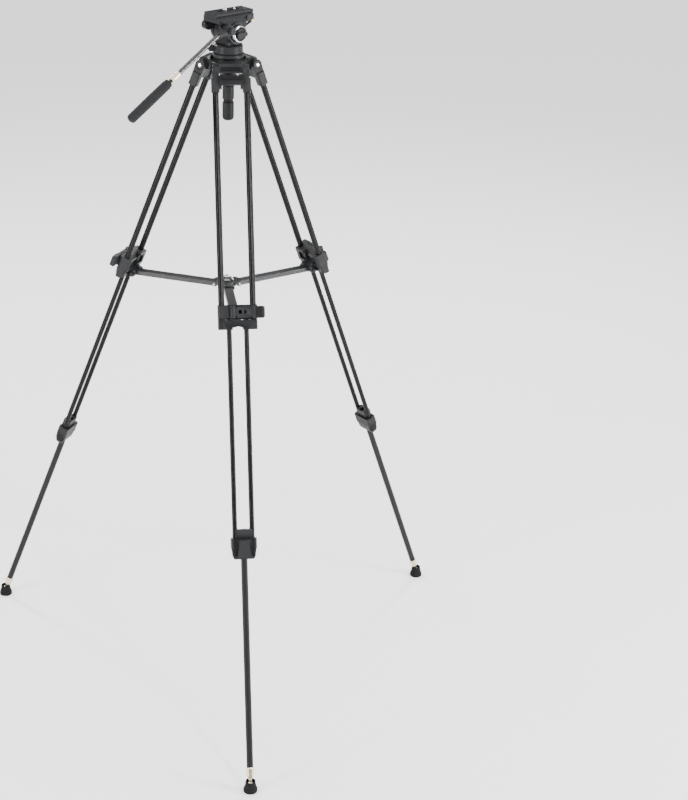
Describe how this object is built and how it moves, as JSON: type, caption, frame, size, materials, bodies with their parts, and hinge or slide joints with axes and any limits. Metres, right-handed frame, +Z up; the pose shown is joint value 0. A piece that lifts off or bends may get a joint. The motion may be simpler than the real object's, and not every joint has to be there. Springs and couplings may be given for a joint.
{
  "type": "video tripod",
  "caption": "Free-standing twin-tube video tripod with mid-level spreader, bowl mount, fluid pan-and-tilt head, bent pan handle and sliding camera plate.",
  "frame": {"origin": "on the floor, at the middle of the box round the three feet", "axes": "+Z up, -Y towards the front leg, +X to the right as seen from the front leg"},
  "size_m": [1.2998, 1.1306, 1.8565],
  "materials": {
    "tube": "satin black powder coat",
    "casting": "matte moulded black, fine grain",
    "head_metal": "satin black, cast and machined",
    "steel": "bright zinc plated",
    "black_bolt": "black oxide",
    "sleeve": "champagne anodised",
    "rubber": "matt moulded rubber",
    "foam": "closed-cell foam",
    "brass": "satin brass",
    "pad": "ribbed rubber",
    "vial": "clear green vial"
  },
  "bodies": {
    "crown_body": {"crown": "head_metal", "apex_bolts": "black_bolt"},
    "hub": {"spreader_hub": "head_metal"},
    "leg_a_upper": {"leg_a_yoke": "casting", "leg_a_upper_tubes": "tube", "leg_a_spreader_bracket": "casting"},
    "leg_a_middle": {"leg_a_mid_clamp": "casting", "leg_a_middle_tubes": "tube", "leg_a_lower_clamp": "casting"},
    "leg_a_lever": {"leg_a_lock_lever": "casting"},
    "leg_a_lower": {"leg_a_lower_tube": "tube", "leg_a_foot_sleeve": "sleeve"},
    "leg_a_foot": {"leg_a_foot_cup": "rubber"},
    "leg_a_arm": {"leg_a_spreader_arm": "tube"},
    "leg_b_upper": {"leg_b_yoke": "casting", "leg_b_upper_tubes": "tube", "leg_b_spreader_bracket": "casting"},
    "leg_b_middle": {"leg_b_mid_clamp": "casting", "leg_b_middle_tubes": "tube", "leg_b_lower_clamp": "casting"},
    "leg_b_lever": {"leg_b_lock_lever": "casting"},
    "leg_b_lower": {"leg_b_lower_tube": "tube", "leg_b_foot_sleeve": "sleeve"},
    "leg_b_foot": {"leg_b_foot_cup": "rubber"},
    "leg_b_arm": {"leg_b_spreader_arm": "tube"},
    "leg_c_upper": {"leg_c_yoke": "casting", "leg_c_upper_tubes": "tube", "leg_c_spreader_bracket": "casting"},
    "leg_c_middle": {"leg_c_mid_clamp": "casting", "leg_c_middle_tubes": "tube", "leg_c_lower_clamp": "casting"},
    "leg_c_lever": {"leg_c_lock_lever": "casting"},
    "leg_c_lower": {"leg_c_lower_tube": "tube", "leg_c_foot_sleeve": "sleeve"},
    "leg_c_foot": {"leg_c_foot_cup": "rubber"},
    "leg_c_arm": {"leg_c_spreader_arm": "tube"},
    "ball_body": {"half_ball": "head_metal", "bowl_stud": "steel", "pan_base": "head_metal"},
    "grip_body": {"bowl_grip": "casting"},
    "pan_body": {"pan_housing": "head_metal"},
    "pan_lock": {"pan_lock_lever": "casting"},
    "cradle": {"tilt_cradle": "head_metal", "tilt_shaft": "steel", "bubble_level": "vial"},
    "drag_knob": {"tilt_drag_knob": "casting"},
    "lock_knob": {"tilt_lock_knob": "casting"},
    "plate": {"quick_release_plate": "head_metal", "plate_pads": "pad"},
    "screw_quarter": {"camera_screw_quarter": "steel"},
    "screw_three_eighths": {"camera_screw_three_eighths": "steel"},
    "pin": {"video_pin": "steel"},
    "plate_lock": {"plate_lock_knob": "casting"},
    "release": {"release_button": "casting"},
    "handle": {"handle_clamp": "casting", "handle_tube": "tube"},
    "thumb_screw": {"handle_thumb_screw": "casting"},
    "collar": {"handle_collar": "sleeve"},
    "grip": {"handle_rod": "head_metal", "handle_grip": "foam"}
  },
  "joints": [
    {"name": "leg_a_fold", "type": "hinge", "parent": "crown_body", "child": "leg_a_upper", "pos_m": [0, 0.12343, 1.712], "axis": [1, 0, 0], "range_deg": [0, 21.6]},
    {"name": "leg_a_middle_slide", "type": "slide", "parent": "leg_a_upper", "child": "leg_a_middle", "axis": [0, 0.3681, 0.9298], "range_m": [0, 0.5]},
    {"name": "leg_a_lever_flip", "type": "hinge", "parent": "leg_a_middle", "child": "leg_a_lever", "pos_m": [-0.014, -0.1253, 1.15172], "axis": [0, 0.3681, 0.9298], "range_deg": [-100, 0]},
    {"name": "leg_a_lower_slide", "type": "slide", "parent": "leg_a_middle", "child": "leg_a_lower", "axis": [0, 0.3681, 0.9298], "range_m": [0, 0.53]},
    {"name": "leg_a_foot_swivel", "type": "hinge", "parent": "leg_a_lower", "child": "leg_a_foot", "pos_m": [0, -0.54728, 0.018], "axis": [-1, 0, 0], "range_deg": [0, 21.6]},
    {"name": "leg_a_arm_fold", "type": "hinge", "parent": "hub", "child": "leg_a_arm", "pos_m": [0, 0.15243, 1.1144], "axis": [1, 0, 0], "range_deg": [0, 88.5]},
    {"name": "leg_b_fold", "type": "hinge", "parent": "crown_body", "child": "leg_b_upper", "pos_m": [0.0511, 0.21193, 1.712], "axis": [-0.5, 0.866, 0], "range_deg": [0, 21.6]},
    {"name": "leg_b_middle_slide", "type": "slide", "parent": "leg_b_upper", "child": "leg_b_middle", "axis": [-0.3188, -0.1841, 0.9298], "range_m": [0, 0.5]},
    {"name": "leg_b_lever_flip", "type": "hinge", "parent": "leg_b_middle", "child": "leg_b_lever", "pos_m": [0.27349, 0.32416, 1.15172], "axis": [-0.3188, -0.1841, 0.9298], "range_deg": [-100, 0]},
    {"name": "leg_b_lower_slide", "type": "slide", "parent": "leg_b_middle", "child": "leg_b_lower", "axis": [-0.3188, -0.1841, 0.9298], "range_m": [0, 0.53]},
    {"name": "leg_b_foot_swivel", "type": "hinge", "parent": "leg_b_lower", "child": "leg_b_foot", "pos_m": [0.63194, 0.54728, 0.018], "axis": [0.5, -0.866, 0], "range_deg": [0, 21.6]},
    {"name": "leg_b_arm_fold", "type": "hinge", "parent": "hub", "child": "leg_b_arm", "pos_m": [0.02598, 0.19743, 1.1144], "axis": [-0.5, 0.866, 0], "range_deg": [0, 88.5]},
    {"name": "leg_c_fold", "type": "hinge", "parent": "crown_body", "child": "leg_c_upper", "pos_m": [-0.0511, 0.21193, 1.712], "axis": [-0.5, -0.866, 0], "range_deg": [0, 21.6]},
    {"name": "leg_c_middle_slide", "type": "slide", "parent": "leg_c_upper", "child": "leg_c_middle", "axis": [0.3188, -0.1841, 0.9298], "range_m": [0, 0.5]},
    {"name": "leg_c_lever_flip", "type": "hinge", "parent": "leg_c_middle", "child": "leg_c_lever", "pos_m": [-0.25949, 0.34841, 1.15172], "axis": [0.3188, -0.1841, 0.9298], "range_deg": [-100, 0]},
    {"name": "leg_c_lower_slide", "type": "slide", "parent": "leg_c_middle", "child": "leg_c_lower", "axis": [0.3188, -0.1841, 0.9298], "range_m": [0, 0.53]},
    {"name": "leg_c_foot_swivel", "type": "hinge", "parent": "leg_c_lower", "child": "leg_c_foot", "pos_m": [-0.63194, 0.54728, 0.018], "axis": [0.5, 0.866, 0], "range_deg": [0, 21.6]},
    {"name": "leg_c_arm_fold", "type": "hinge", "parent": "hub", "child": "leg_c_arm", "pos_m": [-0.02598, 0.19743, 1.1144], "axis": [-0.5, -0.866, 0], "range_deg": [0, 88.5]},
    {"name": "hub_rise", "type": "slide", "parent": "crown_body", "child": "hub", "axis": [0, 0, 1], "range_m": [0, 0.202]},
    {"name": "bowl_level", "type": "hinge", "parent": "crown_body", "child": "ball_body", "pos_m": [0, 0.18243, 1.726], "axis": [1, 0, 0], "range_deg": [-8, 8]},
    {"name": "bowl_grip_turn", "type": "hinge", "parent": "ball_body", "child": "grip_body", "pos_m": [0, 0.18243, 1.62], "axis": [0, 0, 1], "range_deg": [-180, 180]},
    {"name": "pan", "type": "hinge", "parent": "ball_body", "child": "pan_body", "pos_m": [0, 0.18243, 1.753], "axis": [0, 0, 1], "continuous": true},
    {"name": "pan_lock_turn", "type": "hinge", "parent": "pan_body", "child": "pan_lock", "pos_m": [-0.045, 0.18243, 1.753], "axis": [-1, 0, 0], "range_deg": [-60, 0]},
    {"name": "tilt", "type": "hinge", "parent": "pan_body", "child": "cradle", "pos_m": [0, 0.18243, 1.797], "axis": [-0.5736, 0.8192, 0], "range_deg": [-30, 60]},
    {"name": "tilt_drag_turn", "type": "hinge", "parent": "cradle", "child": "drag_knob", "pos_m": [-0.02581, 0.21929, 1.797], "axis": [-0.5736, 0.8192, 0], "range_deg": [-150, 150]},
    {"name": "tilt_lock_turn", "type": "hinge", "parent": "cradle", "child": "lock_knob", "pos_m": [0.02581, 0.14556, 1.797], "axis": [0.5736, -0.8192, 0], "range_deg": [-90, 0]},
    {"name": "plate_slide", "type": "slide", "parent": "cradle", "child": "plate", "axis": [0.8192, 0.5736, 0], "range_m": [-0.03, 0.03]},
    {"name": "quarter_screw_turn", "type": "hinge", "parent": "plate", "child": "screw_quarter", "pos_m": [0.01474, 0.19275, 1.845], "axis": [0, 0, 1], "continuous": true},
    {"name": "three_eighths_screw_turn", "type": "hinge", "parent": "plate", "child": "screw_three_eighths", "pos_m": [-0.01147, 0.1744, 1.845], "axis": [0, 0, 1], "continuous": true},
    {"name": "video_pin_press", "type": "slide", "parent": "plate", "child": "pin", "axis": [0, 0, -1], "range_m": [0, 0.004], "stiffness_N_per_m": 300},
    {"name": "plate_lock_turn", "type": "hinge", "parent": "cradle", "child": "plate_lock", "pos_m": [-0.0023, 0.23453, 1.832], "axis": [-0.5736, 0.8192, 0], "range_deg": [-120, 0]},
    {"name": "release_press", "type": "slide", "parent": "cradle", "child": "release", "axis": [-0.5736, 0.8192, 0], "range_m": [0, 0.0025], "stiffness_N_per_m": 300},
    {"name": "handle_angle", "type": "hinge", "parent": "cradle", "child": "handle", "pos_m": [-0.00409, 0.11852, 1.812], "axis": [0.5736, -0.8192, 0], "range_deg": [-75, 28]},
    {"name": "thumb_screw_turn", "type": "hinge", "parent": "handle", "child": "thumb_screw", "pos_m": [0.00222, 0.10951, 1.812], "axis": [0.5736, -0.8192, 0], "range_deg": [-180, 0]},
    {"name": "collar_turn", "type": "hinge", "parent": "handle", "child": "collar", "pos_m": [-0.14785, 0.01786, 1.71891], "axis": [-0.6984, -0.4891, -0.5225], "range_deg": [-60, 0]},
    {"name": "handle_extend", "type": "slide", "parent": "handle", "child": "grip", "axis": [0.6984, 0.4891, 0.5225], "range_m": [-0.09, 0]}
  ],
  "couplings": [
    {"joint": "leg_a_arm_fold", "follows": "leg_a_fold", "ratio": 4.0431},
    {"joint": "leg_b_fold", "follows": "leg_a_fold", "ratio": 1},
    {"joint": "leg_b_arm_fold", "follows": "leg_a_fold", "ratio": 4.0431},
    {"joint": "leg_c_fold", "follows": "leg_a_fold", "ratio": 1},
    {"joint": "leg_c_arm_fold", "follows": "leg_a_fold", "ratio": 4.0431},
    {"joint": "hub_rise", "follows": "leg_a_fold", "m_per_rad": 0.53029}
  ]
}
